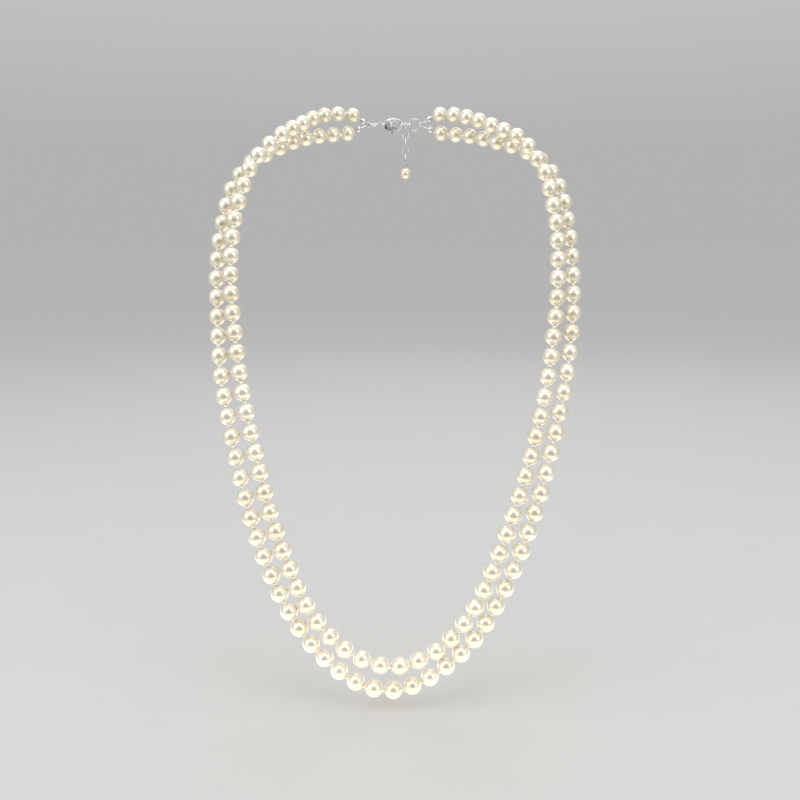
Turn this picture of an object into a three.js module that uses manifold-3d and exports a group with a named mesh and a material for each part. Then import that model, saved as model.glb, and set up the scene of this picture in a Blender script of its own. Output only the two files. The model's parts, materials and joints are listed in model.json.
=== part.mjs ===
// A two-strand necklace of round pearls, knotted one by one on thread, as it
// lies round a neck: the short inner strand inside the long outer one, both
// joined at the nape by a lobster clasp with a short extender chain.
// Millimetres. +Z is up, -Y is the front, and the origin is the middle of the
// clasp, where the necklace rests on the nape.
import * as THREE from 'three';
import { mergeVertices } from 'three/addons/utils/BufferGeometryUtils.js';
import Module from 'manifold-3d';

const wasm = await Module();
wasm.setup();

// ---- driving dimensions ----
const PEARL_DIAMETER = 8.0;
const BOTTOM_GAP = 0.9;      // room for a knot between the lowest pearls
const GAP_RAMP = 24;         // pearls over which the weight stretches the gaps
const INNER_SIDE_GAP = 1.37; // room for a knot from there up to the clasp
const OUTER_SIDE_GAP = 1.56;
const KNOT_RADIUS = 0.85;
const END_KNOT = 0.6;        // length of the last knot, before the bead tip
const CLEARANCE = 0.3;       // between pieces that touch
const OVERLAP = 0.1;         // by which shapes joined in one piece run into each other

const RING_WIRE = 0.9;       // jump ring wire diameter
const RING_DIAMETER = 6.9;   // jump ring, outside
const TIP_CUP_DIAMETER = 3.4; // bead tip, the clamshell over the end knot
const TIP_WIRE = 0.64;
const TIP_LOOP_DIAMETER = 2.94; // outside
const LINK_WIRE = 0.8;       // extender chain
const LINK_LENGTH = 6.0;     // outside
const LINK_WIDTH = 3.8;      // outside
const FLAT_LINK_LENGTH = 7.3; // the chain's first link, in the claw, of ring wire
const FLAT_LINK_WIDTH = 4.4;
const HANGING_LINKS = 5;
const DROP_DIAMETER = 6.0;
const DROP_BORE = 1.2;
const HEADPIN_WIRE = 0.6;
const HEADPIN_LOOP_RADIUS = 1.1; // to the middle of the wire
const HEADPIN_HEAD_DIAMETER = 1.8;
const HEADPIN_HEAD = 0.4;    // thickness
const CLAW_THICKNESS = 1.4;
const CLASP_THICKNESS = 3.0;
const TRIGGER_THICKNESS = 0.8;
const TRIGGER_BOSS = 2.5;
const PIN_DIAMETER = 0.84;
const PIN_HEAD_DIAMETER = 2.0;
const PIN_HEAD = 0.4;        // thickness
const SPRING_STRIP = 0.25;
const SPRING_LENGTH = 2.4;

const PEARL_SIDES = 6;
const WIRE_SIDES = 6;
const RING_STEPS = 16;
const LOOP_STEPS = 12;
const SPAN_STEPS = 60;       // along a route, between two of its points

// ---- the clasp's layout along X, from the middle of the clasp ----
const EYE = { x: -7.8, wall: 0.8, play: 0.5, slack: 0.2 }; // slack: the ring's wire from the hole's middle
const PIVOT = { x: -3.0, z: -1.4 };
const FLAT_LINK_LEFT = 2.8; // middle of the wire in the claw
const flatLinkRight = FLAT_LINK_LEFT + FLAT_LINK_LENGTH - RING_WIRE;
const ringRadius = (RING_DIAMETER - RING_WIRE) / 2; // to the middle of the wire
const leftRingX = EYE.x - EYE.slack - ringRadius;
const rightRingX = flatLinkRight - CLEARANCE - RING_WIRE + ringRadius;
const leftTipX = leftRingX - ringRadius;            // where the bead tips' loops hang
const rightTipX = rightRingX + ringRadius;

// ---- the two routes, clasp to clasp by way of the chest, the wearer's right first ----
const INNER_ROUTE = [
  [leftTipX, 0.75, 0], [-23, -4, 4.5], [-32.5, -11, 4], [-41, -21, 1],
  [-48, -32.5, -4], [-55.5, -45, -10], [-63, -53, -18], [-69, -61, -27.5],
  [-74.5, -75, -51.5], [-75, -87.5, -77.5], [-72, -98, -103.5], [-67.5, -106.5, -130],
  [-61.5, -113, -156], [-55, -118, -181.5], [-46.5, -121.5, -206.5], [-37, -123.5, -226.5],
  [-22, -124.5, -243.5], [-1.5, -125, -251.5], [18.5, -124.5, -245], [34, -123.5, -228.5],
  [44, -121.5, -208.5], [53.5, -118, -183], [61.5, -113, -157], [68, -106.5, -131],
  [72.5, -98.5, -105], [75.5, -88.5, -79], [76, -76.5, -53.5], [72.5, -62.5, -30.5],
  [68, -54, -20.5], [62, -46.5, -12], [51.5, -34.5, -5.5], [41.5, -22.5, 0],
  [32, -12, 3.5], [23, -4.5, 4.5], [rightTipX, 0, 0.75],
];
const INNER_BOTTOM_POINT = 17;
const OUTER_ROUTE = [
  [leftTipX, -0.75, 0], [-23, -3.5, -4.5], [-33, -10.5, -6.5], [-42, -19.5, -8.5],
  [-50, -29, -11.5], [-57, -37, -15.5], [-64.5, -44, -20], [-71, -50.5, -25],
  [-76.5, -57, -33.5], [-80, -64.5, -44.5], [-82.5, -77.5, -68.5], [-81, -90.5, -95],
  [-78, -102.5, -121.5], [-72.5, -111, -148.5], [-66, -117, -175], [-58, -121, -200.5],
  [-47, -123.5, -225.5], [-34, -124.5, -244.5], [-17, -125, -259], [0, -125, -263],
  [16.5, -124.5, -257], [34, -124, -242], [46, -123, -223.5], [57, -120.5, -199],
  [65.5, -117, -173], [72.5, -111, -146.5], [78.5, -102, -120.5], [82.5, -90.5, -94.5],
  [83.5, -77.5, -68.5], [81.5, -65, -44.5], [78.5, -56, -32.5], [73.5, -48.5, -24],
  [67, -42, -18.5], [59, -36, -14.5], [50.5, -28, -11.5], [42, -19, -8.5],
  [33, -10.5, -6.5], [23, -3.5, -4.5], [rightTipX, 0, -0.75],
];
const OUTER_BOTTOM_POINT = 19;

// Runs of pearls on each side, counted from the bottom of the strand, for a
// side of 38 pearls. A side with more or fewer shares them out alike.
const BOTTOM_MIDDLE_PEARLS = 2; // on each side of the lowest point
const SIDE_PEARLS = 38;
const SIDE_RUNS = [
  ['bottom', 2, 5], ['low', 5, 9], ['middle', 9, 13], ['chest', 13, 18],
  ['collar', 18, 23], ['shoulder', 23, 28], ['neck', 28, 33], ['nape', 33, 38],
];

// ---- materials ----
const pearlMaterial = new THREE.MeshStandardMaterial({ color: 0xe9e3cf, roughness: 0.18, metalness: 0 });
const metalMaterial = new THREE.MeshStandardMaterial({ color: 0xc9c9c6, roughness: 0.2, metalness: 1 });

// ---- solids ----
function toSolid(geometry) {
  geometry.deleteAttribute('normal');
  geometry.deleteAttribute('uv');
  const merged = mergeVertices(geometry, 1e-4);
  return new wasm.Manifold(new wasm.Mesh({
    numProp: 3,
    vertProperties: new Float32Array(merged.attributes.position.array),
    triVerts: new Uint32Array(merged.index.array),
  }));
}

function joined(solids) {
  return solids.reduce((whole, solid) => whole.add(solid));
}

function toMesh(name, solid, material) {
  const { vertProperties, triVerts } = solid.getMesh();
  const geometry = new THREE.BufferGeometry();
  geometry.setAttribute('position', new THREE.BufferAttribute(vertProperties, 3));
  geometry.setIndex(new THREE.BufferAttribute(triVerts, 1));
  const mesh = new THREE.Mesh(geometry, material);
  mesh.name = name;
  return mesh;
}

// Turns a geometry that was made along Y to lie along a direction, and moves it.
function aim(geometry, direction, centre) {
  const turn = new THREE.Quaternion().setFromUnitVectors(
    new THREE.Vector3(0, 1, 0), direction.clone().normalize());
  geometry.applyQuaternion(turn);
  geometry.translate(centre.x, centre.y, centre.z);
  return geometry;
}

function rod(from, to, radius, sides) {
  const along = to.clone().sub(from);
  const middle = from.clone().add(to).multiplyScalar(0.5);
  return toSolid(aim(new THREE.CylinderGeometry(radius, radius, along.length(), sides), along, middle));
}

// A plate of an outline in the XZ plane, thick along Y, with round holes along Y.
function plate(points, thickness, holes = []) {
  const shape = new THREE.Shape(points.map(([x, z]) => new THREE.Vector2(x, z)));
  for (const { x, z, radius } of holes) {
    shape.holes.push(new THREE.Path().absarc(x, z, radius, 0, 2 * Math.PI, true));
  }
  const geometry = new THREE.ExtrudeGeometry(shape, { depth: thickness, bevelEnabled: false, curveSegments: 6 });
  geometry.rotateX(Math.PI / 2);
  geometry.translate(0, thickness / 2, 0);
  return toSolid(geometry);
}

// An oval wire link in the XY plane, long along X.
function link(length, width, wire) {
  const endRadius = (width - wire) / 2;
  const straight = (length - wire) / 2 - endRadius;
  const points = Array.from({ length: RING_STEPS }, (_, step) => {
    const angle = (step + 0.5) * 2 * Math.PI / RING_STEPS;
    const x = Math.sign(Math.cos(angle)) * straight + endRadius * Math.cos(angle);
    return new THREE.Vector3(x, endRadius * Math.sin(angle), 0);
  });
  const path = new THREE.CatmullRomCurve3(points, true);
  return new THREE.TubeGeometry(path, RING_STEPS, wire / 2, WIRE_SIDES, true);
}

// A closed body through round cross-sections: a lathe whose rows are moved
// one by one onto the sections.
function loft(sections) {
  const profile = sections.map(({ radius }, row) => new THREE.Vector2(radius, row));
  const rows = [new THREE.Vector2(0, 0), ...profile, new THREE.Vector2(0, sections.length - 1)];
  const geometry = new THREE.LatheGeometry(rows, PEARL_SIDES);
  const corners = geometry.attributes.position;
  const across = new THREE.Vector3(0, 1, 0);
  for (let i = 0; i < corners.count; i += 1) {
    const { centre, direction } = sections[Math.round(corners.getY(i))];
    const u = new THREE.Vector3().crossVectors(direction, across).normalize();
    const v = new THREE.Vector3().crossVectors(u, direction);
    const place = centre.clone().addScaledVector(u, corners.getX(i)).addScaledVector(v, corners.getZ(i));
    corners.setXYZ(i, place.x, place.y, place.z);
  }
  return toSolid(geometry);
}

// Cross-sections of a pearl, from knot to knot.
const PEARL_SECTIONS = [-75, -35, 0, 35, 75].map((latitude) => {
  const angle = THREE.MathUtils.degToRad(latitude);
  return { along: PEARL_DIAMETER / 2 * Math.sin(angle), radius: PEARL_DIAMETER / 2 * Math.cos(angle) };
});

// ---- a strand ----
class Strand {
  // Its pearls are numbered outwards from the lowest point, where there is a
  // pearl, numbered 0, or a knot, between the pearls 0.5 and -0.5.
  constructor(name, route, bottomPoint, firstPearl, sideGap) {
    this.name = name;
    this.sideGap = sideGap;
    const points = route.map((point) => new THREE.Vector3(...point));
    this.curve = new THREE.CatmullRomCurve3(points, false, 'catmullrom', 0.5);
    this.curve.arcLengthDivisions = (points.length - 1) * SPAN_STEPS;
    const lengths = this.curve.getLengths();
    this.length = lengths.at(-1);
    this.bottom = lengths[bottomPoint * SPAN_STEPS];
    this.first = firstPearl === 0 ? 1 : 0.5; // the lowest pearl that has a side
    this.last = this.first;
    while (this.distance(this.last + 1) <= this.room()) this.last += 1;
    const sidePearls = this.last - this.first + 1;
    const shared = (count) => (count <= BOTTOM_MIDDLE_PEARLS ? count : Math.round(count * sidePearls / SIDE_PEARLS));
    this.sideRuns = SIDE_RUNS.map(([run, low, high]) => [run, shared(low), shared(high)]);
  }

  // The thread from the lowest point to the last pearl on the shorter side,
  // where the bead tip still has its place before the end.
  room() {
    const tip = PEARL_DIAMETER / 2 + END_KNOT + CLEARANCE + TIP_CUP_DIAMETER + TIP_LOOP_DIAMETER / 2;
    return Math.min(this.bottom, this.length - this.bottom) - tip;
  }

  // Distance along the thread from the lowest point to a pearl's centre.
  distance(number) {
    const count = Math.abs(number);
    const ramped = Math.min(count, GAP_RAMP);
    const stretch = ramped * ramped / (2 * GAP_RAMP) + count - ramped;
    return Math.sign(number) * (count * (PEARL_DIAMETER + BOTTOM_GAP) + stretch * (this.sideGap - BOTTOM_GAP));
  }

  place(number) {
    return this.curve.getPointAt((this.bottom + this.distance(number)) / this.length);
  }

  // Which way the thread runs through a pearl, towards higher numbers.
  direction(number) {
    return this.curve.getTangentAt((this.bottom + this.distance(number)) / this.length);
  }

  // Cross-sections of the thread's knot, at distances from a pearl's centre
  // towards a place.
  knot(number, target, distances) {
    const centre = this.place(number);
    const direction = target.clone().sub(centre).normalize();
    return distances.map((distance) => ({
      centre: centre.clone().addScaledVector(direction, distance),
      direction,
      radius: KNOT_RADIUS,
    }));
  }

  // Pearls in order, each knotted to the next. A run may start with a knot
  // from a place outside it, and end with one towards the next pearl.
  run(name, numbers, startKnot, endKnot) {
    const forwards = numbers[1] > numbers[0] ? 1 : -1;
    const sections = numbers.flatMap((number) => {
      const direction = this.direction(number).multiplyScalar(forwards);
      return PEARL_SECTIONS.map(({ along, radius }) => (
        { centre: this.place(number).addScaledVector(direction, along), direction, radius }));
    });
    const solid = loft([...startKnot, ...sections, ...endKnot]);
    return toMesh(`${this.name}_${name}`, solid, pearlMaterial);
  }

  // All the runs: one round the lowest point, then each side up to the clasp.
  // A run's end knot is the one below it, and stops clear of the next pearl.
  runs() {
    const half = this.first + BOTTOM_MIDDLE_PEARLS - 1;
    const middle = Array.from({ length: 2 * half + 1 }, (_, i) => i - half);
    const meshes = [this.run('bottom_middle', middle, [], [])];
    const pearlRadius = PEARL_DIAMETER / 2;
    for (const [side, sign] of [['left', -1], ['right', 1]]) {
      for (const [name, low, high] of this.sideRuns) {
        const numbers = Array.from({ length: high - low }, (_, i) => sign * (high - 1 - i + this.first));
        const last = numbers.at(-1);
        const next = this.place(last - sign);
        const reach = this.place(last).distanceTo(next) - pearlRadius - CLEARANCE;
        const endKnot = this.knot(last, next, [reach]);
        const atClasp = numbers[0] === sign * this.last;
        const startKnot = atClasp ? this.knot(numbers[0], this.end(sign), [pearlRadius + END_KNOT]) : [];
        for (const section of startKnot) section.direction = section.direction.clone().negate();
        meshes.push(this.run(`${name}_${side}`, numbers, startKnot, endKnot));
      }
    }
    return meshes;
  }

  // The end of the thread, in the loop of its bead tip.
  end(sign) {
    return this.curve.getPointAt(sign < 0 ? 0 : 1);
  }

  // A bead tip: a clamshell cup over the end knot, with a loop for the jump
  // ring, whose axis is Y on the left and Z on the right.
  beadTip(side, sign) {
    const centre = this.place(sign * this.last);
    const loopCentre = this.end(sign);
    const along = loopCentre.clone().sub(centre).normalize();
    const at = (distance) => centre.clone().addScaledVector(along, distance);
    const cupRadius = TIP_CUP_DIAMETER / 2;
    const cupAt = PEARL_DIAMETER / 2 + END_KNOT + CLEARANCE + cupRadius;
    const cup = toSolid(aim(new THREE.SphereGeometry(cupRadius, 8, 6), along, at(cupAt)));
    const loopRadius = TIP_LOOP_DIAMETER / 2 - TIP_WIRE / 2;
    const ring = new THREE.TorusGeometry(loopRadius, TIP_WIRE / 2, WIRE_SIDES, LOOP_STEPS);
    if (sign < 0) ring.rotateX(Math.PI / 2);
    ring.translate(loopCentre.x, loopCentre.y, loopCentre.z);
    const loopAxis = sign < 0 ? new THREE.Vector3(0, 1, 0) : new THREE.Vector3(0, 0, 1);
    const inLoop = along.clone().projectOnPlane(loopAxis).normalize();
    const neckEnd = loopCentre.clone().addScaledVector(inLoop, -loopRadius);
    const neck = rod(at(cupAt), neckEnd, TIP_WIRE / 2, WIRE_SIDES);
    return toMesh(`bead_tip_${this.name}_${side}`, joined([cup, neck, toSolid(ring)]), metalMaterial);
  }
}

const inner = new Strand('inner', INNER_ROUTE, INNER_BOTTOM_POINT, 0.5, INNER_SIDE_GAP);
const outer = new Strand('outer', OUTER_ROUTE, OUTER_BOTTOM_POINT, 0, OUTER_SIDE_GAP);

// ---- the clasp, from the left bead tips to the right ones ----
function jumpRing(name, x, turned) {
  const geometry = new THREE.TorusGeometry(ringRadius, RING_WIRE / 2, WIRE_SIDES, RING_STEPS);
  if (turned) geometry.rotateX(Math.PI / 2);
  geometry.translate(x, 0, 0);
  return toMesh(name, toSolid(geometry), metalMaterial);
}

// The clasp's outline, from the eye round the back of the claw to the tip of
// the hook, and back along the inside of the catch.
const CLAW_OUTLINE = [
  [-6.6, 0.9], [-5.4, 1.9], [-3.6, 2.9], [-1.2, 3.4], [1.2, 3.3], [3.2, 2.5], [4.6, 1.0],
  [4.9, -0.5], [4.4, -2.0], [3.0, -3.1], [1.3, -3.3], [0.9, -2.9], [1.3, -2.5], [2.5, -2.3],
  [3.3, -1.4], [3.6, -0.2], [3.2, 1.0], [2.0, 1.8], [0.0, 1.9], [-1.2, 1.4], [-1.6, 0.4],
  [-1.6, -2.9], [-4.2, -2.9], [-5.6, -1.9], [-6.6, -0.9],
];
const BASE_OUTLINE = [
  [-5.6, 1.2], [-3.6, 2.4], [-2.0, 2.6], [-1.6, 1.6], [-1.6, -2.9], [-4.2, -2.9], [-5.6, -1.7],
];
const EYE_HOLE_RADIUS = RING_WIRE / 2 + EYE.play;
const EYE_RADIUS = EYE_HOLE_RADIUS + EYE.wall;

function claspBody() {
  const slotHalf = TRIGGER_THICKNESS / 2 + CLEARANCE;
  const bossRoom = TRIGGER_BOSS / 2 + CLEARANCE;
  const claw = plate(CLAW_OUTLINE, CLAW_THICKNESS);
  const base = plate(BASE_OUTLINE, CLASP_THICKNESS);
  const eye = rod(
    new THREE.Vector3(EYE.x, -CLAW_THICKNESS / 2, 0), new THREE.Vector3(EYE.x, CLAW_THICKNESS / 2, 0),
    EYE_RADIUS, 14);
  const eyeHole = rod(
    new THREE.Vector3(EYE.x, -CLAW_THICKNESS, 0), new THREE.Vector3(EYE.x, CLAW_THICKNESS, 0),
    EYE_HOLE_RADIUS, 10);
  const pinHole = rod(
    new THREE.Vector3(PIVOT.x, -CLASP_THICKNESS, PIVOT.z), new THREE.Vector3(PIVOT.x, CLASP_THICKNESS, PIVOT.z),
    PIN_DIAMETER / 2 + CLEARANCE, 10);
  const slotLeft = PIVOT.x - bossRoom;
  const slotTop = PIVOT.z + bossRoom + SPRING_STRIP + 2 * CLEARANCE;
  const slot = plate(
    [[slotLeft, slotTop], [-1, slotTop], [-1, -4], [slotLeft, -4]], 2 * slotHalf);
  const solid = claw.add(base).add(eye).subtract(eyeHole).subtract(pinHole).subtract(slot);
  return toMesh('clasp_body', solid, metalMaterial);
}

function claspTrigger() {
  const arm = plate([
    [PIVOT.x + 0.2, PIVOT.z - 1.1], [-1.7, -2.6], [-1.5, -4.6], [-0.7, -4.6], [-0.7, -2.6],
    [0.2, -2.2], [1.7, -2.2], [1.9, -1.6], [0.2, -1.2], [PIVOT.x + 0.2, PIVOT.z + 1.1],
  ], TRIGGER_THICKNESS);
  const boss = rod(
    new THREE.Vector3(PIVOT.x, -TRIGGER_THICKNESS / 2, PIVOT.z),
    new THREE.Vector3(PIVOT.x, TRIGGER_THICKNESS / 2, PIVOT.z), TRIGGER_BOSS / 2, 12);
  const hole = rod(
    new THREE.Vector3(PIVOT.x, -TRIGGER_THICKNESS, PIVOT.z),
    new THREE.Vector3(PIVOT.x, TRIGGER_THICKNESS, PIVOT.z), PIN_DIAMETER / 2 + CLEARANCE, 10);
  return toMesh('clasp_trigger', arm.add(boss).subtract(hole), metalMaterial);
}

function claspPin() {
  const headInside = CLASP_THICKNESS / 2 + CLEARANCE;
  const headOutside = headInside + PIN_HEAD;
  const at = (y) => new THREE.Vector3(PIVOT.x, y, PIVOT.z);
  const shankEnd = headInside + OVERLAP;
  const shank = rod(at(-shankEnd), at(shankEnd), PIN_DIAMETER / 2, 8);
  const heads = [-1, 1].map((side) => (
    rod(at(side * headInside), at(side * headOutside), PIN_HEAD_DIAMETER / 2, 10)));
  return toMesh('clasp_pin', joined([shank, ...heads]), metalMaterial);
}

// The leaf spring that keeps the trigger shut, in the slot above it.
function claspSpring() {
  const low = PIVOT.z + TRIGGER_BOSS / 2 + CLEARANCE;
  const high = low + SPRING_STRIP;
  const left = PIVOT.x - 1.1;
  const right = left + SPRING_LENGTH;
  const strip = plate([[left, low], [right, low], [right, high], [left, high]], TRIGGER_THICKNESS);
  return toMesh('clasp_spring', strip, metalMaterial);
}

// ---- the extender chain ----
// Its first link lies flat between the clasp's claw and the right ring. The
// others hang from that link's back wire, each turned a quarter from the last.
const hangX = (FLAT_LINK_LEFT + flatLinkRight) / 2;
const hangY = (FLAT_LINK_WIDTH - RING_WIRE) / 2;
const linkPitch = LINK_LENGTH - 2 * LINK_WIRE - CLEARANCE;

function flatLink() {
  const geometry = link(FLAT_LINK_LENGTH, FLAT_LINK_WIDTH, RING_WIRE);
  geometry.translate(hangX, 0, 0);
  return toMesh('extender_link_1', toSolid(geometry), metalMaterial);
}

// Height of the wire that a hanging link, or the drop, hangs on.
function hangingZ(number) {
  const firstDrop = LINK_LENGTH - LINK_WIRE - (RING_WIRE / 2 + LINK_WIRE / 2 + CLEARANCE);
  return number === 0 ? 0 : -firstDrop - (number - 1) * linkPitch;
}

function hangingLink(number) {
  const geometry = link(LINK_LENGTH, LINK_WIDTH, LINK_WIRE);
  geometry.rotateZ(Math.PI / 2);
  geometry.rotateX(Math.PI / 2);
  if (number % 2 === 1) geometry.rotateZ(Math.PI / 2);
  geometry.translate(hangX, hangY, hangingZ(number) + LINK_LENGTH / 2 - LINK_WIRE / 2);
  return toMesh(`extender_link_${number + 1}`, toSolid(geometry), metalMaterial);
}

const dropLoopZ = hangingZ(HANGING_LINKS) + (LINK_WIRE + HEADPIN_WIRE) / 2 + CLEARANCE - HEADPIN_LOOP_RADIUS;
const dropZ = dropLoopZ - HEADPIN_LOOP_RADIUS - HEADPIN_WIRE - CLEARANCE - DROP_DIAMETER / 2;

function headpin() {
  const at = (z) => new THREE.Vector3(hangX, hangY, z);
  const loop = new THREE.TorusGeometry(HEADPIN_LOOP_RADIUS, HEADPIN_WIRE / 2, WIRE_SIDES, LOOP_STEPS);
  loop.rotateX(Math.PI / 2);
  loop.translate(hangX, hangY, dropLoopZ);
  const headTop = dropZ - DROP_DIAMETER / 2 - CLEARANCE;
  const stem = rod(at(dropLoopZ - HEADPIN_LOOP_RADIUS), at(headTop - OVERLAP), HEADPIN_WIRE / 2, WIRE_SIDES);
  const head = rod(at(headTop), at(headTop - HEADPIN_HEAD), HEADPIN_HEAD_DIAMETER / 2, 10);
  return toMesh('drop_headpin', joined([toSolid(loop), stem, head]), metalMaterial);
}

function dropPearl() {
  const at = (z) => new THREE.Vector3(hangX, hangY, z);
  const upwards = new THREE.Vector3(0, 0, 1);
  const bead = toSolid(aim(new THREE.SphereGeometry(DROP_DIAMETER / 2, 12, 8), upwards, at(dropZ)));
  const bore = rod(at(dropZ - DROP_DIAMETER), at(dropZ + DROP_DIAMETER), DROP_BORE / 2, 8);
  return toMesh('drop_pearl', bead.subtract(bore), pearlMaterial);
}

// ---- the necklace ----
const necklace = new THREE.Group();
for (const strand of [inner, outer]) {
  necklace.add(...strand.runs(), strand.beadTip('left', -1), strand.beadTip('right', 1));
}
necklace.add(
  jumpRing('left_jump_ring', leftRingX, false), jumpRing('right_jump_ring', rightRingX, true),
  claspBody(), claspTrigger(), claspPin(), claspSpring(), flatLink());
for (let number = 1; number <= HANGING_LINKS; number += 1) necklace.add(hangingLink(number));
necklace.add(headpin(), dropPearl());

export default necklace;
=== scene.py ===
import json
import math
import random

import bpy
import numpy as np
from mathutils import Matrix, Vector


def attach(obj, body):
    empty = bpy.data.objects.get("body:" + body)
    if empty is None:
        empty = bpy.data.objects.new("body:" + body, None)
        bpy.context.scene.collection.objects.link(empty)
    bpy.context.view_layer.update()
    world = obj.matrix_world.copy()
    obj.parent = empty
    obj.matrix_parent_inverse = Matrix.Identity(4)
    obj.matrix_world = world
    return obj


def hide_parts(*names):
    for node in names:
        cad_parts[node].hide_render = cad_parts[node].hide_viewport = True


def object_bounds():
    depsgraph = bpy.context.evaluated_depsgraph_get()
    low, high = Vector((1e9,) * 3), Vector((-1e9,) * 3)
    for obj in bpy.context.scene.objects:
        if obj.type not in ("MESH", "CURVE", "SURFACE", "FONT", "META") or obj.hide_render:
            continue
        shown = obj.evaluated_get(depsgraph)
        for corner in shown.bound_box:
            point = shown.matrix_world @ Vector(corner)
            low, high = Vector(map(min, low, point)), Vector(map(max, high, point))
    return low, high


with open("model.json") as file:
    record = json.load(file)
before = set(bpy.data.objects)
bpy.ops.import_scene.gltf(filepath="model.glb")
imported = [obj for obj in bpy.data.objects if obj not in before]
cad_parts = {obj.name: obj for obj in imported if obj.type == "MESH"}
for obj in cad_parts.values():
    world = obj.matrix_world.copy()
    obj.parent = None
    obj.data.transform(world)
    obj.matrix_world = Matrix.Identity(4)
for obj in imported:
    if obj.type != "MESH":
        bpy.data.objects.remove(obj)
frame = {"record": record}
cad_low, cad_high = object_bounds()
bpy.ops.object.select_all(action="DESELECT")

# A two-strand pearl necklace, knotted pearl by pearl. Metres; +Z is up, -Y is
# the front, and the origin is the middle of the clasp, on the nape.
MM = 0.001

# ---- the strands, as the frame has them ----
PEARL_RADIUS = 4.0 * MM
PEARL_BORE = 0.5 * MM            # radius of the drilled hole
BOTTOM_GAP = 0.9 * MM            # between the lowest pearls
GAP_RAMP = 24                    # pearls over which the gaps grow
INNER_SIDE_GAP = 1.37 * MM
OUTER_SIDE_GAP = 1.56 * MM
BOTTOM_PEARLS = 2                # each side of the lowest point, in the bottom run
SIDE_RUNS = [
    ("bottom", 2, 5), ("low", 5, 9), ("middle", 9, 13), ("chest", 13, 18),
    ("collar", 18, 23), ("shoulder", 23, 28), ("neck", 28, 33), ("nape", 33, 38),
]
INNER_ROUTE = [
    (-.014, .00075, 0), (-.023, -.004, .0045), (-.0325, -.011, .004), (-.041, -.021, .001),
    (-.048, -.0325, -.004), (-.0555, -.045, -.010), (-.063, -.053, -.018), (-.069, -.061, -.0275),
    (-.0745, -.075, -.0515), (-.075, -.0875, -.0775), (-.072, -.098, -.1035), (-.0675, -.1065, -.130),
    (-.0615, -.113, -.156), (-.055, -.118, -.1815), (-.0465, -.1215, -.2065), (-.037, -.1235, -.2265),
    (-.022, -.1245, -.2435), (-.0015, -.125, -.2515), (.0185, -.1245, -.245), (.034, -.1235, -.2285),
    (.044, -.1215, -.2085), (.0535, -.118, -.183), (.0615, -.113, -.157), (.068, -.1065, -.131),
    (.0725, -.0985, -.105), (.0755, -.0885, -.079), (.076, -.0765, -.0535), (.0725, -.0625, -.0305),
    (.068, -.054, -.0205), (.062, -.0465, -.012), (.0515, -.0345, -.0055), (.0415, -.0225, 0),
    (.032, -.012, .0035), (.023, -.0045, .0045), (.014, 0, .00075),
]
INNER_BOTTOM_POINT = 17
OUTER_ROUTE = [
    (-.014, -.00075, 0), (-.023, -.0035, -.0045), (-.033, -.0105, -.0065), (-.042, -.0195, -.0085),
    (-.050, -.029, -.0115), (-.057, -.037, -.0155), (-.0645, -.044, -.020), (-.071, -.0505, -.025),
    (-.0765, -.057, -.0335), (-.080, -.0645, -.0445), (-.0825, -.0775, -.0685), (-.081, -.0905, -.095),
    (-.078, -.1025, -.1215), (-.0725, -.111, -.1485), (-.066, -.117, -.175), (-.058, -.121, -.2005),
    (-.047, -.1235, -.2255), (-.034, -.1245, -.2445), (-.017, -.125, -.259), (0, -.125, -.263),
    (.0165, -.1245, -.257), (.034, -.124, -.242), (.046, -.123, -.2235), (.057, -.1205, -.199),
    (.0655, -.117, -.173), (.0725, -.111, -.1465), (.0785, -.102, -.1205), (.0825, -.0905, -.0945),
    (.0835, -.0775, -.0685), (.0815, -.065, -.0445), (.0785, -.056, -.0325), (.0735, -.0485, -.024),
    (.067, -.042, -.0185), (.059, -.036, -.0145), (.0505, -.028, -.0115), (.042, -.019, -.0085),
    (.033, -.0105, -.0065), (.023, -.0035, -.0045), (.014, 0, -.00075),
]
OUTER_BOTTOM_POINT = 19
SPAN_STEPS = 60

PEARL_SEGMENTS = 32
PEARL_RINGS = 18
RIM_FLAT = 0.75                  # share of a rim's width that is flat
RIM_DEPTH = 0.06 * MM
SQUATTEST = 0.985                # along the hole, as a share of round
SLIMMEST = 0.99                  # across it

# ---- thread and knots ----
THREAD_RADIUS = 0.3 * MM
KNOT_THREAD = 0.46 * MM          # the thread swells where it turns round itself
KNOT_TURNS = 1.75
KNOT_SPREAD = 0.62 * MM          # how far the turns stand off the thread's line
KNOT_SLANT = 0.55                # how far the turns lean along the line, for each unit off it
KNOT_STEPS = 26
KNOT_SHARE = 0.74                # of the way between two pearls that a knot fills
KNOT_SWELL = 0.6                 # under 1, a knot reaches its full width sooner
KNOT_TAIL = 0.45                 # of that way, from its middle to the end of a run's thread
CAP_MERGE = 0.003 * MM           # joins a wire's caps to it

# ---- findings ----
CUP_RADIUS = 1.7 * MM            # bead tip
CUP_WALL = 0.22 * MM
CUP_SEAM = 0.1 * MM
CUP_REACH = 6.6 * MM             # from the last pearl's centre to the cup's
CUP_HOLE_AT = 0.95               # how far down its radius the cup opens
TIP_WIRE = 0.32 * MM
TIP_LOOP_SWEEP = math.radians(340)
TIP_LOOP = 1.15 * MM             # to the middle of the wire
RING_WIRE = 0.45 * MM
RING_RADIUS = 3.0 * MM
RING_X = 11.0 * MM
RING_SLIT = math.radians(1.5)
LINK_WIRE = 0.4 * MM
LINK_LENGTH = 6.0 * MM
LINK_WIDTH = 3.8 * MM
LINK_PITCH = 4.1 * MM
FLAT_LINK_LENGTH = 7.3 * MM
FLAT_LINK_WIDTH = 4.4 * MM
HANG_X = 6.0 * MM
HANG_Y = 1.75 * MM
FIRST_HANG_Z = -4.05 * MM
HANGING_LINKS = 5
DROP_RADIUS = 3.0 * MM
DROP_BORE = 0.6 * MM
DROP_Z = -25.55 * MM
PIN_WIRE = 0.3 * MM
PIN_LOOP = 1.1 * MM
PIN_LOOP_Z = -20.55 * MM
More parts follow.
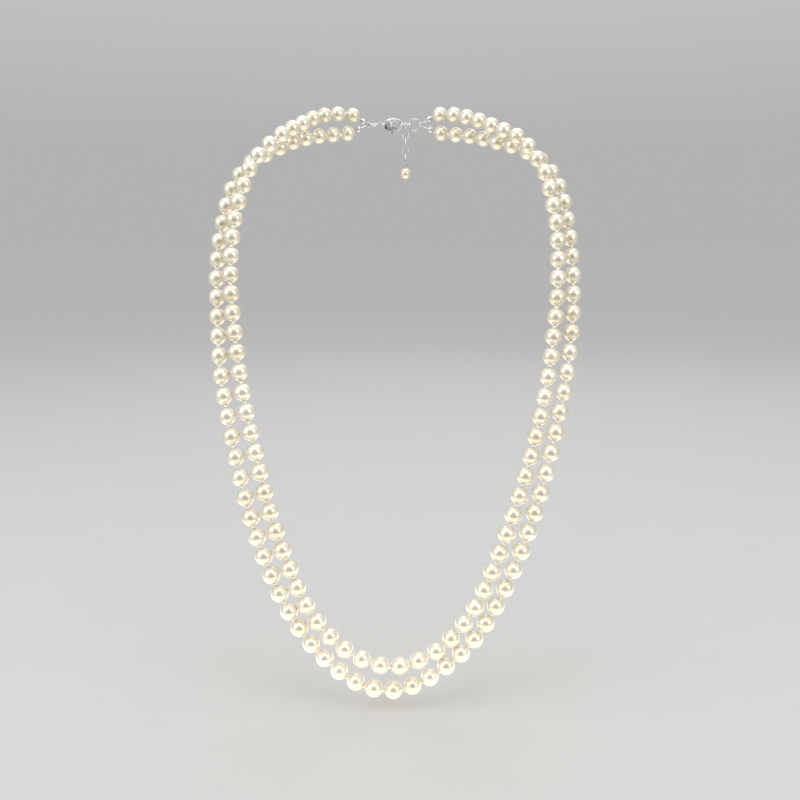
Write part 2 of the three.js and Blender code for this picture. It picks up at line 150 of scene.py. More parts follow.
PIN_HEAD_RADIUS = 0.9 * MM
PIN_HEAD_DEPTH = 0.4 * MM
PIN_HEAD_GAP = 0.3 * MM          # between the head and the drop's pearl

BODIES = frame["record"]["behaviour"]["bodies"]
BODY_OF = {node: body for body, nodes in BODIES.items() for node in nodes}


# ---- materials ----
class Term:
    """A shader socket that can be used in sums."""

    def __init__(self, finish, socket):
        self.finish = finish
        self.socket = socket

    def math(self, operation, first, second):
        return self.finish.node("ShaderNodeMath", {"operation": operation}, first, second)

    def __add__(self, other):
        return self.math("ADD", self, other)

    def __radd__(self, other):
        return self.math("ADD", other, self)

    def __mul__(self, other):
        return self.math("MULTIPLY", self, other)

    def __rmul__(self, other):
        return self.math("MULTIPLY", other, self)


class Finish:
    """A material and its principled shader, built node by node."""

    def __init__(self, name, **constants):
        self.material = bpy.data.materials.new(name)
        self.material.use_nodes = True
        self.tree = self.material.node_tree
        self.shader = self.tree.nodes["Principled BSDF"]
        for socket, value in constants.items():
            self.shader.inputs[socket.replace("_", " ")].default_value = value

    def node(self, kind, settings, *values, output=0, **named):
        made = self.tree.nodes.new(kind)
        for setting, value in settings.items():
            setattr(made, setting, value)
        for place, value in [*enumerate(values), *named.items()]:
            socket = made.inputs[place.replace("_", " ") if isinstance(place, str) else place]
            self.join(value, socket)
        return Term(self, made.outputs[output])

    def join(self, value, socket):
        if isinstance(value, Term):
            self.tree.links.new(value.socket, socket)
        elif value is not None:
            socket.default_value = value

    def place(self):
        return self.node("ShaderNodeTexCoord", {}, output="Object")

    def noise(self, scale, detail=3.0, roughness=0.5, place=None):
        return self.node("ShaderNodeTexNoise", {}, Vector=place or self.place(), Scale=scale,
                         Detail=detail, Roughness=roughness)

    def blend(self, factor, first, second):
        made = self.tree.nodes.new("ShaderNodeMix")
        made.data_type = "RGBA"
        for value, socket in zip((factor, first, second), (0, 6, 7)):
            self.join(value, made.inputs[socket])
        return Term(self, made.outputs[2])

    def spread(self, value, low, high, to_low=0.0, to_high=1.0):
        return self.node("ShaderNodeMapRange", {}, value, low, high, to_low, to_high)

    def bump(self, height, strength, distance):
        return self.node("ShaderNodeBump", {}, Strength=strength, Distance=distance, Height=height)

    def set(self, **sockets):
        for socket, value in sockets.items():
            self.join(value, self.shader.inputs[socket.replace("_", " ")])
        return self.material


def nacre():
    """Glossy cream nacre: each pearl a shade of its own, with rose and green overtones."""
    finish = Finish("cream_nacre", Metallic=0.48, IOR=1.6,
                    Coat_Weight=1.0, Coat_Roughness=0.12, Coat_IOR=1.65,
                    Sheen_Weight=0.12, Sheen_Roughness=0.3, Sheen_Tint=(1.0, 0.93, 0.9, 1.0),
                    Thin_Film_Thickness=320.0, Thin_Film_IOR=1.5)
    cream = (0.80, 0.735, 0.555, 1.0)
    ivory = (0.87, 0.82, 0.67, 1.0)
    rose = (0.86, 0.72, 0.585, 1.0)
    green = (0.75, 0.755, 0.57, 1.0)
    per_pearl = finish.noise(70.0, 1.0)
    overtone = finish.noise(240.0, 2.0)
    layers = finish.noise(420.0, 2.0)
    colour = finish.blend(finish.spread(per_pearl, 0.35, 0.65), cream, ivory)
    colour = finish.blend(finish.spread(overtone, 0.52, 0.72, 0.0, 0.45), colour, rose)
    colour = finish.blend(finish.spread(overtone, 0.48, 0.28, 0.0, 0.35), colour, green)
    colour = finish.blend(finish.spread(layers, 0.55, 0.8, 0.0, 0.25), colour, ivory)
    skin = finish.noise(500.0, 1.0)
    return finish.set(Base_Color=colour, Roughness=0.22 + 0.1 * layers,
                      Normal=finish.bump(skin, 0.04, 0.02 * MM))


def silk():
    """White twisted silk, with a fine fibre."""
    finish = Finish("silk_thread", Sheen_Weight=0.7, Sheen_Roughness=0.4, IOR=1.45)
    fibres = finish.noise(9000.0, 3.0, 0.6)
    dye = finish.noise(500.0, 2.0)
    warm = (0.97, 0.945, 0.86, 1.0)
    bright = (0.99, 0.98, 0.93, 1.0)
    shaded = (0.82, 0.78, 0.66, 1.0)
    colour = finish.blend(dye, warm, bright)
    colour = finish.blend(finish.spread(fibres, 0.3, 0.5, 0.12, 0.0), colour, shaded)
    return finish.set(Base_Color=colour, Roughness=0.55 + 0.2 * fibres,
                      Normal=finish.bump(fibres, 0.4, 0.06 * MM))


def rhodium():
    """Polished plated brass: bright, with hair scratches and softer patches where it rubs."""
    finish = Finish("polished_rhodium", Metallic=1.0)
    rubbed = finish.noise(600.0, 3.0)
    drawn_out = finish.node("ShaderNodeMapping", {}, finish.place(), Scale=(1.0, 14.0, 3.0))
    scratches = finish.noise(1500.0, 2.0, place=drawn_out)
    soft = (0.66, 0.655, 0.645, 1.0)
    bright = (0.76, 0.755, 0.745, 1.0)
    colour = finish.blend(rubbed, soft, bright)
    return finish.set(Base_Color=colour, Roughness=0.1 + 0.12 * rubbed + 0.05 * scratches,
                      Normal=finish.bump(scratches, 0.08, 0.01 * MM))


def plaster():
    """The pale, even floor."""
    finish = Finish("pale_floor", Roughness=0.8)
    grain = finish.noise(60.0, 4.0)
    colour = finish.blend(grain, (0.55, 0.547, 0.538, 1.0), (0.57, 0.567, 0.558, 1.0))
    return finish.set(Base_Color=colour)


NACRE = nacre()
SILK = silk()
RHODIUM = rhodium()


# ---- modelling ----
def select(piece):
    bpy.ops.object.select_all(action="DESELECT")
    piece.select_set(True)
    bpy.context.view_layer.objects.active = piece
    return piece


def clear_mesh(piece):
    """Selects a piece, with nothing in its mesh selected."""
    select(piece)
    for part in (piece.data.vertices, piece.data.edges, piece.data.polygons):
        part.foreach_set("select", [False] * len(part))


def faces(piece, test):
    """Opens a piece in edit mode, with the faces selected whose middle and normal pass a test."""
    clear_mesh(piece)
    for face in piece.data.polygons:
        face.select = test(face.center, face.normal)
    bpy.context.tool_settings.mesh_select_mode = (False, False, True)
    bpy.ops.object.mode_set(mode="EDIT")


def corners(piece, test):
    """Opens a piece in edit mode, with the vertices selected whose place passes a test."""
    clear_mesh(piece)
    for corner in piece.data.vertices:
        corner.select = test(corner.co)
    bpy.context.tool_settings.mesh_select_mode = (True, False, False)
    bpy.ops.object.mode_set(mode="EDIT")


def leave():
    bpy.ops.object.mode_set(mode="OBJECT")


def added(name):
    piece = bpy.context.object
    piece.name = name
    piece.data.name = name
    return piece


def apply(piece, kind, **settings):
    select(piece)
    modifier = piece.modifiers.new(kind.lower(), kind)
    for setting, value in settings.items():
        setattr(modifier, setting, value)
    bpy.ops.object.modifier_apply(modifier=modifier.name)


def joined(name, pieces):
    select(pieces[0])
    for piece in pieces[1:]:
        piece.select_set(True)
    bpy.ops.object.join()
    return added(name)


def smooth(piece, angle):
    select(piece)
    bpy.ops.object.shade_smooth_by_angle(angle=math.radians(angle))
    return piece


def moved(piece, matrix):
    piece.data.transform(matrix)
    return piece


def copy_of(piece, name):
    made = piece.copy()
    made.data = piece.data.copy()
    made.name = made.data.name = name
    bpy.context.scene.collection.objects.link(made)
    return made


def discard(piece):
    bpy.data.objects.remove(piece)


def facing(direction, centre, roll=0.0):
    """Takes what was made along Z to lie along a direction."""
    turn = Vector(direction).to_track_quat("Z", "Y").to_matrix().to_4x4()
    return Matrix.Translation(centre) @ turn @ Matrix.Rotation(roll, 4, "Z")


def dress(piece, material, slot_name, body, *nodes):
    """Gives a finished piece its material and its body, and hides the frame's parts for the nodes that it
    stands for.
    """
    piece.data.materials.clear()
    piece.data.materials.append(material)
    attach(piece, body)
    if nodes:
        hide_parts(*nodes)
    return piece


def wire(name, points, radius, sides=8, radii=None):
    """A round wire or thread along points, its ends capped."""
    curve = bpy.data.curves.new(name, "CURVE")
    curve.dimensions = "3D"
    curve.bevel_depth = radius
    curve.bevel_resolution = sides // 2 - 2
    curve.use_fill_caps = True
    spline = curve.splines.new("POLY")
    spline.points.add(len(points) - 1)
    for number, (corner, point) in enumerate(zip(spline.points, points)):
        corner.co = (*point, 1.0)
        corner.radius = 1.0 if radii is None else radii[number] / radius
    piece = bpy.data.objects.new(name, curve)
    bpy.context.scene.collection.objects.link(piece)
    select(piece)
    bpy.ops.object.convert(target="MESH")
    piece = added(name)
    faces(piece, lambda middle, normal: True)
    bpy.ops.mesh.remove_doubles(threshold=CAP_MERGE)
    leave()
    return smooth(piece, 50)


# ---- pearls ----
def drilled_pearl(name, radius, bore):
    """A round bead, drilled through along Z, with the hole's rims eased."""
    bpy.ops.mesh.primitive_uv_sphere_add(segments=PEARL_SEGMENTS, ring_count=PEARL_RINGS, radius=radius)
    pearl = added(name)
    # a height between the middles of the faces at the pole and of those in the next ring
    cap = radius * math.cos(math.radians(150 / PEARL_RINGS))
    faces(pearl, lambda middle, normal: abs(middle.z) > cap)
    bpy.ops.mesh.dissolve_faces()
    # The drop's opening is narrower than its bore, so its insets have no width: its rims are
    # left uneased, with a ring of flat faces at each.
    mouth = radius * math.sin(math.pi / PEARL_RINGS)
    bpy.ops.mesh.inset(thickness=(mouth - bore) * RIM_FLAT, depth=0.0)
    bpy.ops.mesh.inset(thickness=(mouth - bore) * (1 - RIM_FLAT), depth=-RIM_DEPTH)
    bpy.ops.mesh.bridge_edge_loops()
    leave()
    return smooth(pearl, 45)


# ---- a strand ----
def smooth_route(points):
    """The curve through a route's points, in short even steps, as the frame has it."""
    points = np.array(points, float)
    points = np.vstack([2 * points[0] - points[1], points, 2 * points[-1] - points[-2]])
    steps = np.linspace(0, 1, SPAN_STEPS, endpoint=False)[:, None]
    spans = []
    for before, start, end, after in zip(points, points[1:], points[2:], points[3:]):
        leaving, arriving = (end - before) / 2, (after - start) / 2
        spans.append(start + leaving * steps + (3 * (end - start) - 2 * leaving - arriving) * steps ** 2
                     + (2 * (start - end) + leaving + arriving) * steps ** 3)
    return np.vstack([*spans, points[-2:-1]])


class Strand:
    """Pearls on a thread, numbered outwards from the lowest point: left below zero, right above."""

    def __init__(self, name, route, bottom_point, first, side_gap):
        self.name = name
        self.first = first                     # the lowest pearl of the sides
        self.side_gap = side_gap
        self.line = smooth_route(route)
        lengths = np.linalg.norm(np.diff(self.line, axis=0), axis=1)
        self.reach = np.concatenate([[0.0], np.cumsum(lengths)])
        self.bottom = self.reach[bottom_point * SPAN_STEPS]

    def at(self, along):
        return Vector([np.interp(along, self.reach, self.line[:, axis]) for axis in range(3)])

    def distance(self, number):
        count = abs(number)
        ramped = min(count, GAP_RAMP)
        stretch = ramped * ramped / (2 * GAP_RAMP) + count - ramped
        way = count * (2 * PEARL_RADIUS + BOTTOM_GAP) + stretch * (self.side_gap - BOTTOM_GAP)
        return math.copysign(way, number)

    def place(self, number):
        return self.at(self.bottom + self.distance(number))

    def direction(self, number):
        middle = self.bottom + self.distance(number)
        return (self.at(middle + 0.5 * MM) - self.at(middle - 0.5 * MM)).normalized()

    def end(self, sign):
        return Vector(self.line[0] if sign < 0 else self.line[-1])

    def last(self):
        return SIDE_RUNS[-1][2] - 1 + self.first

    def tip_direction(self, sign):
        return (self.end(sign) - self.place(sign * self.last())).normalized()

    def cup_centre(self, sign):
        return self.place(sign * self.last()) + self.tip_direction(sign) * CUP_REACH


def knot(centre, direction, length, chance):
    """The thread's turns in one knot: places, and how thick the thread is at each."""
    across = direction.orthogonal().normalized()
    over = direction.cross(across)
    phase = chance.uniform(0, 2 * math.pi)
    spread = KNOT_SPREAD * chance.uniform(0.9, 1.1)
    lean = chance.uniform(0.75, 1.3)
    slope = chance.uniform(0, 2 * math.pi)
    downhill = across * math.cos(slope) + over * math.sin(slope)
    places, widths = [], []
    for step in range(KNOT_STEPS + 1):
        share = step / KNOT_STEPS
        fullness = math.sin(math.pi * share ** lean) ** KNOT_SWELL
        angle = phase + 2 * math.pi * KNOT_TURNS * share
        off = across * math.cos(angle) + over * math.sin(angle)
        off += direction * off.dot(downhill) * KNOT_SLANT
        places.append(centre + direction * (share - 0.5) * length + off * spread * fullness)
        widths.append(THREAD_RADIUS + (KNOT_THREAD - THREAD_RADIUS) * fullness)
    return places, widths


def thread(strand, name, numbers, node, chance):
    """One run's thread with its knots: from the knot above, which the run above holds, through
    each pearl, to the knot below its last pearl."""
    towards = 1 if numbers[1] > numbers[0] else -1
    whole_bottom = numbers[0] == -numbers[-1]
    if numbers[0] * towards < 0 and abs(numbers[0]) == strand.last():
        places = [strand.cup_centre(math.copysign(1, numbers[0]))]
    else:
        places = [strand.place(numbers[0] - towards / 2)]
    widths = [THREAD_RADIUS]
    for number in numbers:
        centre = strand.place(number)
        direction = strand.direction(number) * towards
        for off in (-1, 0, 1):
            places.append(centre + direction * off * PEARL_RADIUS)
            widths.append(THREAD_RADIUS)
        following = number + towards
        if number == numbers[-1] and whole_bottom:
            places.append(strand.place(number + towards / 2))
            widths.append(THREAD_RADIUS)
            continue
        start = places[-1]
        finish = strand.place(following) - strand.direction(following) * towards * PEARL_RADIUS
        length = (finish - start).length
        way = (finish - start).normalized()
        turns, swelling = knot((start + finish) / 2, way, length * KNOT_SHARE, chance)
        places += turns
        widths += swelling
        if number == numbers[-1]:
            places.append((start + finish) / 2 + (finish - start) * KNOT_TAIL)
            widths.append(THREAD_RADIUS)
    piece = wire(name, places, THREAD_RADIUS, sides=8, radii=widths)
    return dress(piece, SILK, "thread", BODY_OF[node], node)


def string_pearls(strand, pearl):
    """All of a strand's runs: their thread, and each pearl on it as a piece of its own."""
    chance = random.Random(strand.name)
    half = strand.first + BOTTOM_PEARLS - 1
    runs = [("bottom_middle", [n - half for n in range(int(2 * half) + 1)])]
    for side, sign in (("left", -1), ("right", 1)):
        for run, low, high in SIDE_RUNS:
            numbers = [sign * (count + strand.first) for count in reversed(range(low, high))]
            runs.append((f"{run}_{side}", numbers))
    for run, numbers in runs:
        node = f"{strand.name}_{run}"
        thread(strand, f"{node}_thread", numbers, node, chance)
        for place, number in enumerate(numbers):
            bead = copy_of(pearl, f"{node}_pearl_{place + 1}")
            squat = chance.uniform(SQUATTEST, 1.0)
            girth = chance.uniform(SLIMMEST, 1.0)
            turn = facing(strand.direction(number), strand.place(number), chance.uniform(0, 2 * math.pi))
            moved(bead, turn @ Matrix.Diagonal((girth, girth, squat, 1.0)))
            dress(bead, NACRE, "pearl", BODY_OF[node])


# ---- bead tips ----
def tip_cup():
    """Two half shells, closed over the end knot, with the thread's hole between them."""
    bpy.ops.mesh.primitive_uv_sphere_add(segments=20, ring_count=12, radius=CUP_RADIUS)
    cup = added("cup")
    faces(cup, lambda middle, normal: middle.z < -CUP_HOLE_AT * CUP_RADIUS)
    bpy.ops.mesh.delete(type="FACE")
    bpy.ops.mesh.select_all(action="SELECT")
    bpy.ops.mesh.bisect(plane_co=(0, 0, 0), plane_no=(1, 0, 0), clear_inner=True)
    bpy.ops.mesh.select_all(action="SELECT")
    bpy.ops.transform.translate(value=(CUP_SEAM / 2, 0, 0))
    leave()
    apply(cup, "SOLIDIFY", thickness=CUP_WALL, offset=-1.0)
    apply(cup, "BEVEL", width=0.06 * MM, segments=2, limit_method="ANGLE", angle_limit=math.radians(50))
    apply(cup, "MIRROR", use_axis=(True, False, False), use_mirror_merge=False)
    return smooth(cup, 40)


def bead_tip(strand, side, sign, cup):
    direction = strand.tip_direction(sign)
    centre = strand.cup_centre(sign)
    shell = moved(copy_of(cup, "shell"), facing(direction, centre))
    loop = strand.end(sign)
    axis = Vector((0, 1, 0)) if sign < 0 else Vector((0, 0, 1))
    flat = (direction - axis * direction.dot(axis)).normalized()
    other = axis.cross(flat)
    places = [centre + direction * CUP_RADIUS * 0.92]
    turns = 22
    for step in range(turns + 1):
        angle = TIP_LOOP_SWEEP * step / turns
        places.append(loop - (flat * math.cos(angle) + other * math.sin(angle)) * TIP_LOOP)
    hook = wire("hook", places, TIP_WIRE, sides=10)
    piece = joined(f"bead_tip_{strand.name}_{side}_shells", [shell, hook])
    node = f"bead_tip_{strand.name}_{side}"
    return dress(piece, RHODIUM, "metal", BODY_OF[node], node)


# ---- rings and links ----
def oval_link(name, length, width, wire_radius):
    """A soldered wire link, long along X, in the XY plane."""
    bend = width / 2 - wire_radius
    straight = length / 2 - wire_radius - bend
    bpy.ops.mesh.primitive_torus_add(major_segments=32, minor_segments=12, major_radius=bend,
                                     minor_radius=wire_radius)
    link = added(name)
    for side in (-1, 1):
        corners(link, lambda place: place.x * side > 1e-6)
        bpy.ops.transform.translate(value=(side * straight, 0, 0))
        leave()
    return smooth(link, 60)


def jump_ring(name, x, upright):
    """A bent wire ring whose ends meet in a fine slit."""
    steps = 44
    places = []
    for step in range(steps + 1):
        angle = RING_SLIT / 2 + (2 * math.pi - RING_SLIT) * step / steps
        along, aside = math.sin(angle), math.cos(angle)
        around = Vector((along, 0, aside)) if upright else Vector((along, aside, 0))
        places.append(Vector((x, 0, 0)) + around * RING_RADIUS)
    piece = wire(f"{name}_wire", places, RING_WIRE, sides=12)
    return dress(piece, RHODIUM, "metal", "clasp", name)


def hang_z(number):
    return FIRST_HANG_Z - (number - 1) * LINK_PITCH


def extender_chain():
    first = oval_link("extender_link_1_wire", FLAT_LINK_LENGTH, FLAT_LINK_WIDTH, RING_WIRE)
    moved(first, Matrix.Translation((HANG_X, 0, 0)))
    dress(first, RHODIUM, "metal", "clasp", "extender_link_1")
    pattern = oval_link("link", LINK_LENGTH, LINK_WIDTH, LINK_WIRE)
    for number in range(1, HANGING_LINKS + 1):
        name = f"extender_link_{number + 1}"
        link = copy_of(pattern, f"{name}_wire")
        stand = Matrix.Rotation(math.pi / 2, 4, "Y")
        if number % 2 == 0:
            stand = Matrix.Rotation(math.pi / 2, 4, "Z") @ stand
        centre = (HANG_X, HANG_Y, hang_z(number) + LINK_LENGTH / 2 - LINK_WIRE)
        moved(link, Matrix.Translation(centre) @ stand)
        dress(link, RHODIUM, "metal", BODY_OF[name], name)
    discard(pattern)


def drop(pearl):
    """The pearl at the end of the extender chain, on its head pin."""
    middle = Vector((HANG_X, HANG_Y, 0))
    head_z = DROP_Z - DROP_RADIUS - PIN_HEAD_GAP - PIN_HEAD_DEPTH / 2
    turns = 20
    places = [middle + Vector((0, 0, head_z)), middle + Vector((0, 0, DROP_Z))]
    for step in range(turns + 1):
        angle = math.radians(-90 + 345 * step / turns)
        up = PIN_LOOP_Z + PIN_LOOP * math.sin(angle)
        places.append(middle + Vector((PIN_LOOP * math.cos(angle), 0, up)))
    stem = wire("stem", places, PIN_WIRE, sides=10)
    bpy.ops.mesh.primitive_cylinder_add(vertices=24, radius=PIN_HEAD_RADIUS, depth=PIN_HEAD_DEPTH,
                                        location=(HANG_X, HANG_Y, head_z))
    head = added("head")
    bpy.ops.object.transform_apply()
    apply(head, "BEVEL", width=0.15 * MM, segments=3, limit_method="ANGLE")
    pin = smooth(joined("drop_headpin_wire", [stem, head]), 40)
    dress(pin, RHODIUM, "metal", "drop", "drop_headpin")
    bead = copy_of(pearl, "drop_pearl_bead")
    moved(bead, Matrix.Translation((HANG_X, HANG_Y, DROP_Z)))
    dress(bead, NACRE, "pearl", "drop_bead", "drop_pearl")


# ---- the lobster clasp ----
PIVOT = Vector((-3.0 * MM, 0, -1.4 * MM))
CLAW_LINE = [  # the middle of the claw and its half width, round from the body to the tip
    ((-5.6, 0.2), 1.0), ((-4.4, 1.2), 1.25), ((-2.8, 2.1), 1.2), ((-1.2, 2.45), 1.0), ((0.6, 2.6), 0.78),
    ((2.2, 2.25), 0.72), ((3.4, 1.45), 0.7), ((4.05, 0.45), 0.69), ((4.25, -0.6), 0.64), ((3.85, -1.7), 0.58),
    ((2.95, -2.55), 0.48), ((1.9, -2.85), 0.42), ((1.1, -2.9), 0.36),
]
BODY_OUTLINE = [(-5.9, 0.9), (-4.6, 2.0), (-3.2, 2.5), (-2.0, 2.6), (-1.6, 1.6), (-1.6, -2.9), (-4.2, -2.9),
                (-5.5, -1.9), (-5.9, -0.9)]
SLOT_OUTLINE = [(-4.5, 0.5), (-1.0, 0.5), (-1.0, -4.0), (-4.5, -4.0)]
SPRING_OUTLINE = [(-4.1, 0.15), (-2.9, 0.2), (-1.7, 0.15), (-1.7, 0.4), (-2.9, 0.45), (-4.1, 0.4)]
CHEEK_THICKNESS = 3.0 * MM       # across both cheeks
CHEEK_CORNERS = 0.8 * MM
CHEEK_EDGES = 1.1 * MM
CAST_VOXEL = 0.11 * MM
EYE_X = -7.8 * MM
EYE_RADIUS = 1.36 * MM           # to the middle of its wire
EYE_WIRE = 0.42 * MM
NECK_RADIUS = 0.75 * MM
DOME_X = -3.7                    # the cheeks' dome: its middle and reach, in millimetres
DOME_Z = -0.2
DOME_LENGTH = 2.4
DOME_HEIGHT = 2.9
SLOT_WIDTH = 1.4 * MM
PIVOT_BORE = 0.72 * MM           # radius, in the cheeks and in the trigger
LEVER_THICKNESS = 0.8 * MM       # of the trigger and of its spring
LEVER_CORNERS = 0.3 * MM
BOSS_RADIUS = 1.25 * MM
RIVET_RADIUS = 0.42 * MM
RIVET_LENGTH = 3.7 * MM
RIVET_HEAD_RADIUS = 0.85 * MM
RIVET_HEAD_DEPTH = 0.5 * MM
RIVET_HEAD_Y = 1.72 * MM
TRIGGER_OUTLINE = [(-2.8, -2.5), (-1.7, -2.6), (-1.5, -4.6), (-0.7, -4.6), (-0.7, -2.6), (0.2, -2.2),
                   (1.7, -2.2), (1.9, -1.6), (0.2, -1.2), (-2.8, -0.3)]


def slab(name, outline, thickness, rounding=0.0):
    """A plate of an outline in the XZ plane, in millimetres, thick along Y, its corners rounded."""
    bpy.ops.mesh.primitive_circle_add(vertices=len(outline), radius=MM, fill_type="NGON",
                                      rotation=(math.pi / 2, 0, 0))
    plate = added(name)
    bpy.ops.object.transform_apply()
    for corner, (x, z) in zip(plate.data.vertices, outline):
        corner.co = (x * MM, -thickness / 2, z * MM)
    faces(plate, lambda middle, normal: True)
    bpy.ops.mesh.extrude_region_move(TRANSFORM_OT_translate={"value": (0, thickness, 0)})
    bpy.ops.mesh.select_all(action="SELECT")
    bpy.ops.mesh.normals_make_consistent(inside=False)
    leave()
    if rounding:
        select(plate)
        bpy.context.tool_settings.mesh_select_mode = (False, True, False)
        bpy.ops.object.mode_set(mode="EDIT")
        bpy.ops.mesh.select_all(action="DESELECT")
        leave()
        corner_at = plate.data.vertices
        for edge in plate.data.edges:
            start, end = (corner_at[corner].co for corner in edge.vertices)
            edge.select = abs(start.y - end.y) > thickness / 2
        bpy.ops.object.mode_set(mode="EDIT")
        bpy.ops.mesh.bevel(offset=rounding, segments=5, clamp_overlap=True)
        leave()
    return plate


def peg(name, place, radius, depth, vertices=24):
    """A cylinder along Y."""
    bpy.ops.mesh.primitive_cylinder_add(vertices=vertices, radius=radius, depth=depth, location=place,
                                        rotation=(math.pi / 2, 0, 0))
    piece = added(name)
    bpy.ops.object.transform_apply()
    return piece


def cut(piece, tool):
    apply(piece, "BOOLEAN", operation="DIFFERENCE", object=tool, solver="EXACT")
    discard(tool)


def clasp_body():
    """The cast body: claw, cheeks either side of the trigger's slot, and the eye."""
    centre_line = np.array([[x, 0, z, half] for (x, z), half in CLAW_LINE]) * MM
    fine = smooth_route(centre_line)[::SPAN_STEPS // 5]
    claw = wire("claw", [Vector(row[:3]) for row in fine], MM, sides=14, radii=list(fine[:, 3]))
    cheeks = slab("cheeks", BODY_OUTLINE, CHEEK_THICKNESS, CHEEK_CORNERS)
    apply(cheeks, "BEVEL", width=CHEEK_EDGES, segments=6, limit_method="ANGLE",
          angle_limit=math.radians(60))
    bpy.ops.mesh.primitive_torus_add(major_segments=32, minor_segments=14, major_radius=EYE_RADIUS,
                                     minor_radius=EYE_WIRE, location=(EYE_X, 0, 0),
                                     rotation=(math.pi / 2, 0, 0))
    eye = added("eye")
    bpy.ops.object.transform_apply()
    neck = wire("neck", [Vector((-6.6 * MM, 0, 0)), Vector((-5.2 * MM, 0, 0))], NECK_RADIUS, sides=12)
    body = joined("clasp_body_cast", [claw, cheeks, eye, neck])
    apply(body, "REMESH", mode="VOXEL", voxel_size=CAST_VOXEL)
    apply(body, "SMOOTH", factor=0.5, iterations=4)
    for corner in body.data.vertices:
        off = ((corner.co.x / MM - DOME_X) / DOME_LENGTH) ** 2
        off += ((corner.co.z / MM - DOME_Z) / DOME_HEIGHT) ** 2
        corner.co.y *= np.interp(off, (0, 1.2, 2.4), (1.08, 0.78, 1.0))
    cut(body, slab("slot", SLOT_OUTLINE, SLOT_WIDTH))
    cut(body, peg("bore", PIVOT, PIVOT_BORE, 6 * MM))
    smooth(body, 35)
    return dress(body, RHODIUM, "metal", "clasp", "clasp_body")


def clasp_trigger():
    """The lever that closes the claw, with its boss round the pivot."""
    arm = slab("clasp_trigger_lever", TRIGGER_OUTLINE, LEVER_THICKNESS, LEVER_CORNERS)
    boss = peg("boss", PIVOT, BOSS_RADIUS, LEVER_THICKNESS, 32)
    apply(arm, "BOOLEAN", operation="UNION", object=boss, solver="EXACT")
    discard(boss)
    cut(arm, peg("bore", PIVOT, PIVOT_BORE, 3 * MM))
    apply(arm, "BEVEL", width=0.18 * MM, segments=3, limit_method="ANGLE", angle_limit=math.radians(50))
    smooth(arm, 35)
    return dress(arm, RHODIUM, "metal", "trigger", "clasp_trigger")


def clasp_pin():
    """The trigger's pivot: a shank with a domed head on each cheek."""
    shank = peg("clasp_pin_rivet", PIVOT, RIVET_RADIUS, RIVET_LENGTH)
    heads = []
    for side in (-1, 1):
        place = PIVOT + Vector((0, side * RIVET_HEAD_Y, 0))
        head = peg("head", place, RIVET_HEAD_RADIUS, RIVET_HEAD_DEPTH)
        apply(head, "BEVEL", width=0.24 * MM, segments=4, limit_method="ANGLE")
        heads.append(head)
    pin = smooth(joined("clasp_pin_rivet", [shank, *heads]), 35)
    return dress(pin, RHODIUM, "metal", "clasp", "clasp_pin")


def clasp_spring():
    """The leaf spring over the trigger's boss, curved a little."""
    strip = slab("clasp_spring_leaf", SPRING_OUTLINE, LEVER_THICKNESS)
    apply(strip, "BEVEL", width=0.05 * MM, segments=2, limit_method="ANGLE")
    smooth(strip, 35)
    return dress(strip, RHODIUM, "metal", "clasp", "clasp_spring")


# ---- floor, light and camera ----
CAMERA_PLACE = (0.003, -0.503, -0.0625)
CAMERA_TILT = math.radians(80)
CAMERA_LENS = 40.275
FLOOR_DROP = 6 * MM              # below the lowest pearl
STAND_DROP = 5 * MM              # the reflector and the card's foot, just over the floor
LAMP_REACH = 1.1
SOFTBOXES = [  # name, azimuth and elevation in degrees, size in metres, power in watts
    ("left_softbox", -58, 22, 0.85, 3.8), ("right_softbox", 48, 20, 0.65, 2.9),
    ("top_softbox", 0, 76, 0.9, 3.1), ("back_softbox", 165, 48, 0.9, 1.6),
]
WHITE = (1.0, 1.0, 1.0)
WARM_WHITE = (1.0, 0.92, 0.82)
ROOM_RISE = (0.1, 0.9, 0.45, 0.92)   # heights of view where it starts and ends, and its strengths


def room_light():
    """The room is as pale as the floor at eye level, and brighter overhead."""
    world = bpy.data.worlds.new("studio")
    world.use_nodes = True
    tree = world.node_tree
    room = tree.nodes["Background"]
    direction = tree.nodes.new("ShaderNodeTexCoord")
    split = tree.nodes.new("ShaderNodeSeparateXYZ")
    brightness = tree.nodes.new("ShaderNodeMapRange")
    for socket, value in zip(brightness.inputs[1:5], ROOM_RISE):
        socket.default_value = value
    tree.links.new(direction.outputs["Generated"], split.inputs[0])
    tree.links.new(split.outputs["Z"], brightness.inputs["Value"])
    tree.links.new(brightness.outputs["Result"], room.inputs["Strength"])
    room.inputs["Color"].default_value = (*WHITE, 1.0)
    return world


def dark_card(foot):
    """A dark card that stands in front, for the polished surfaces to reflect; no view shows it."""
    bpy.ops.mesh.primitive_plane_add(size=1.0, location=(0, -0.42, foot + 0.15),
                                     rotation=(math.pi / 2, 0, 0))
    card = added("dark_card")
    card.scale = (0.5, 0.3, 1.0)
    bpy.ops.object.transform_apply()
    finish = Finish("dark_card", Roughness=0.9)
    card.data.materials.append(finish.set(Base_Color=(0.12, 0.115, 0.11, 1.0)))
    card.visible_camera = card.visible_diffuse = card.visible_shadow = False


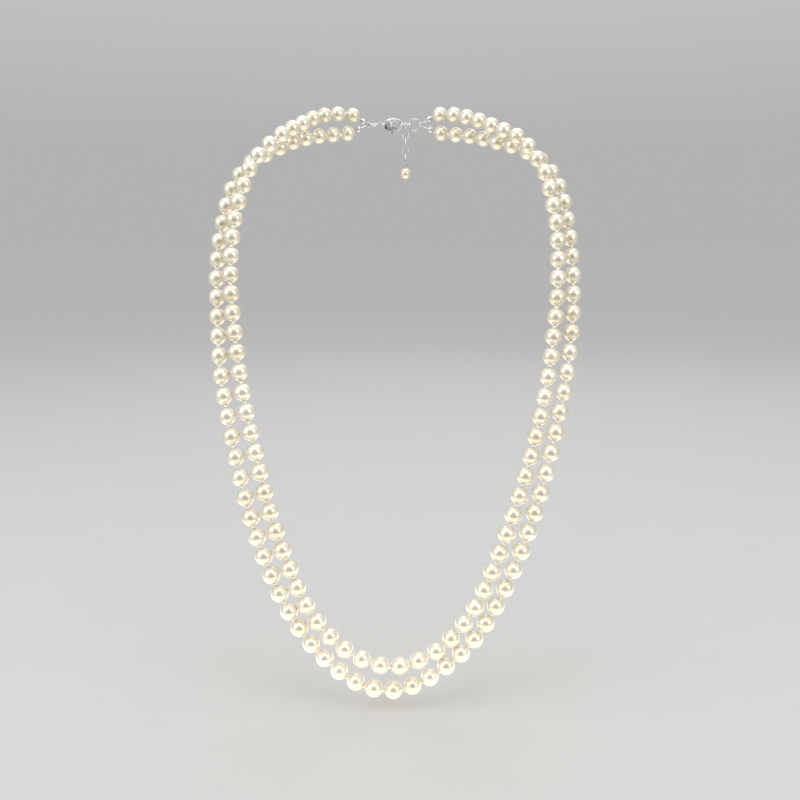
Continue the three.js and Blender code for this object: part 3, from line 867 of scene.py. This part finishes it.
def softbox(name, place, away, size, power, colour):
    """A square lamp at a place, which shines back against the direction away."""
    bpy.ops.object.light_add(type="AREA", location=place)
    lamp = bpy.context.object
    lamp.name = name
    lamp.data.shape = "SQUARE"
    lamp.data.size = size
    lamp.data.energy = power
    lamp.data.color = colour
    lamp.rotation_euler = away.to_track_quat("Z", "Y").to_euler()
    lamp.visible_camera = False


def studio():
    bpy.ops.mesh.primitive_plane_add(size=60.0, location=(0, 0, cad_low.z - FLOOR_DROP))
    floor = added("floor")
    bpy.ops.object.transform_apply()
    floor.data.materials.append(plaster())
    centre = (cad_low + cad_high) / 2
    for name, azimuth, elevation, size, power in SOFTBOXES:
        round_z, up = math.radians(azimuth), math.radians(elevation)
        away = Vector((math.sin(round_z) * math.cos(up), -math.cos(round_z) * math.cos(up),
                       math.sin(up)))
        softbox(name, centre + away * LAMP_REACH, away, size, power, WHITE)
    softbox("table_reflector", Vector((0, -0.07, cad_low.z - STAND_DROP)), Vector((0, 0, -1)),
            0.4, 0.45, WARM_WHITE)
    dark_card(cad_low.z - STAND_DROP)
    bpy.context.scene.world = room_light()
    bpy.context.scene.view_settings.view_transform = "Standard"


def camera():
    bpy.ops.object.camera_add(location=CAMERA_PLACE, rotation=(CAMERA_TILT, 0, 0))
    view = bpy.context.object
    view.data.sensor_width = 36.0
    view.data.lens = CAMERA_LENS
    view.data.clip_start = 0.01
    bpy.context.scene.camera = view


camera()
studio()

pearl_pattern = drilled_pearl("pearl_pattern", PEARL_RADIUS, PEARL_BORE)
inner = Strand("inner", INNER_ROUTE, INNER_BOTTOM_POINT, 0.5, INNER_SIDE_GAP)
outer = Strand("outer", OUTER_ROUTE, OUTER_BOTTOM_POINT, 1, OUTER_SIDE_GAP)
cup_pattern = tip_cup()
for strand in (inner, outer):
    string_pearls(strand, pearl_pattern)
    for side, sign in (("left", -1), ("right", 1)):
        bead_tip(strand, side, sign, cup_pattern)
discard(pearl_pattern)
discard(cup_pattern)

jump_ring("left_jump_ring", -RING_X, False)
jump_ring("right_jump_ring", RING_X, True)
clasp_body()
clasp_trigger()
clasp_pin()
clasp_spring()
extender_chain()
drop_pattern = drilled_pearl("drop_pattern", DROP_RADIUS, DROP_BORE)
drop(drop_pattern)
discard(drop_pattern)
